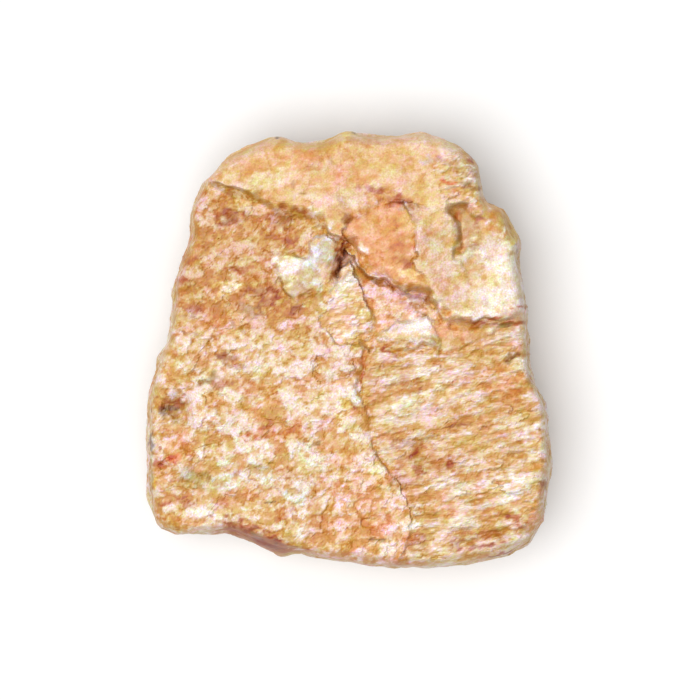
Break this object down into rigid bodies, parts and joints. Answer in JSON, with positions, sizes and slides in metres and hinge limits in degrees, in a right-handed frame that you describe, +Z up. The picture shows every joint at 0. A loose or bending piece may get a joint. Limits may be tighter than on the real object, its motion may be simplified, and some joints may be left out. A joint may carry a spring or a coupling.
{
  "type": "rough bustamite specimen",
  "caption": "Rough lump of bustamite, a flat blocky piece with a ledged, splintery top face, lying on its back on a small flat.",
  "frame": {"origin": "middle of the outline seen from above, at the height of the flat the stone rests on", "axes": "+Z up through the thickness, +Y along the longest side towards the ledged end, +X to the right of the best face"},
  "size_m": [0.0468, 0.0502, 0.0228],
  "materials": {
    "bustamite_surface": "broken crystalline surface, pinkish beige and orange brown, with chalky and glassy patches"
  },
  "bodies": {
    "root": {"bustamite_stone": "bustamite_surface"}
  },
  "joints": []
}
